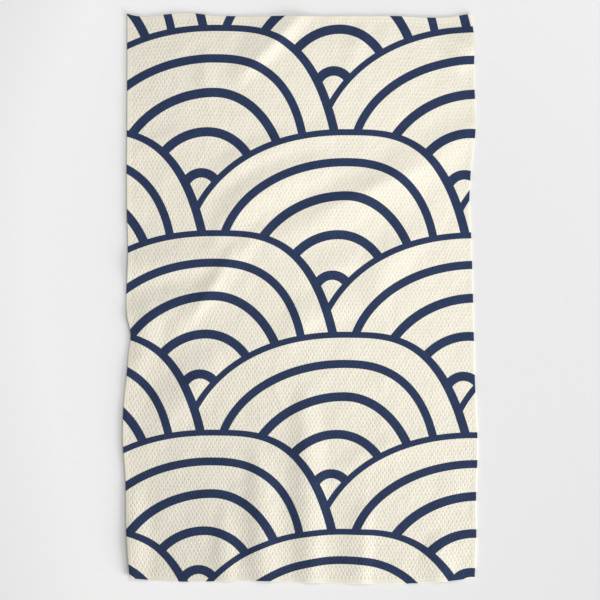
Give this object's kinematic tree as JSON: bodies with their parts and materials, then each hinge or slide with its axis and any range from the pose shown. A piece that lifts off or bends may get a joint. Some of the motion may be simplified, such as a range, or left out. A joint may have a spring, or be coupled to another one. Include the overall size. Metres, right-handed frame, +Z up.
{
  "type": "microfiber towel",
  "caption": "Rectangular microfibre kitchen towel in a waffle weave, lying face up with soft low folds and gently bowed edges, its hem part of the cloth.",
  "frame": {"origin": "centre of the towel's bounding box, on the surface it lies on", "axes": "+X across the towel, +Y along its long side, +Z up through its printed face"},
  "size_m": [0.4125, 0.6639, 0.0057],
  "materials": {
    "cloth": "matt waffle weave, cream with a navy print"
  },
  "bodies": {
    "root": {"towel": "cloth"}
  },
  "joints": []
}
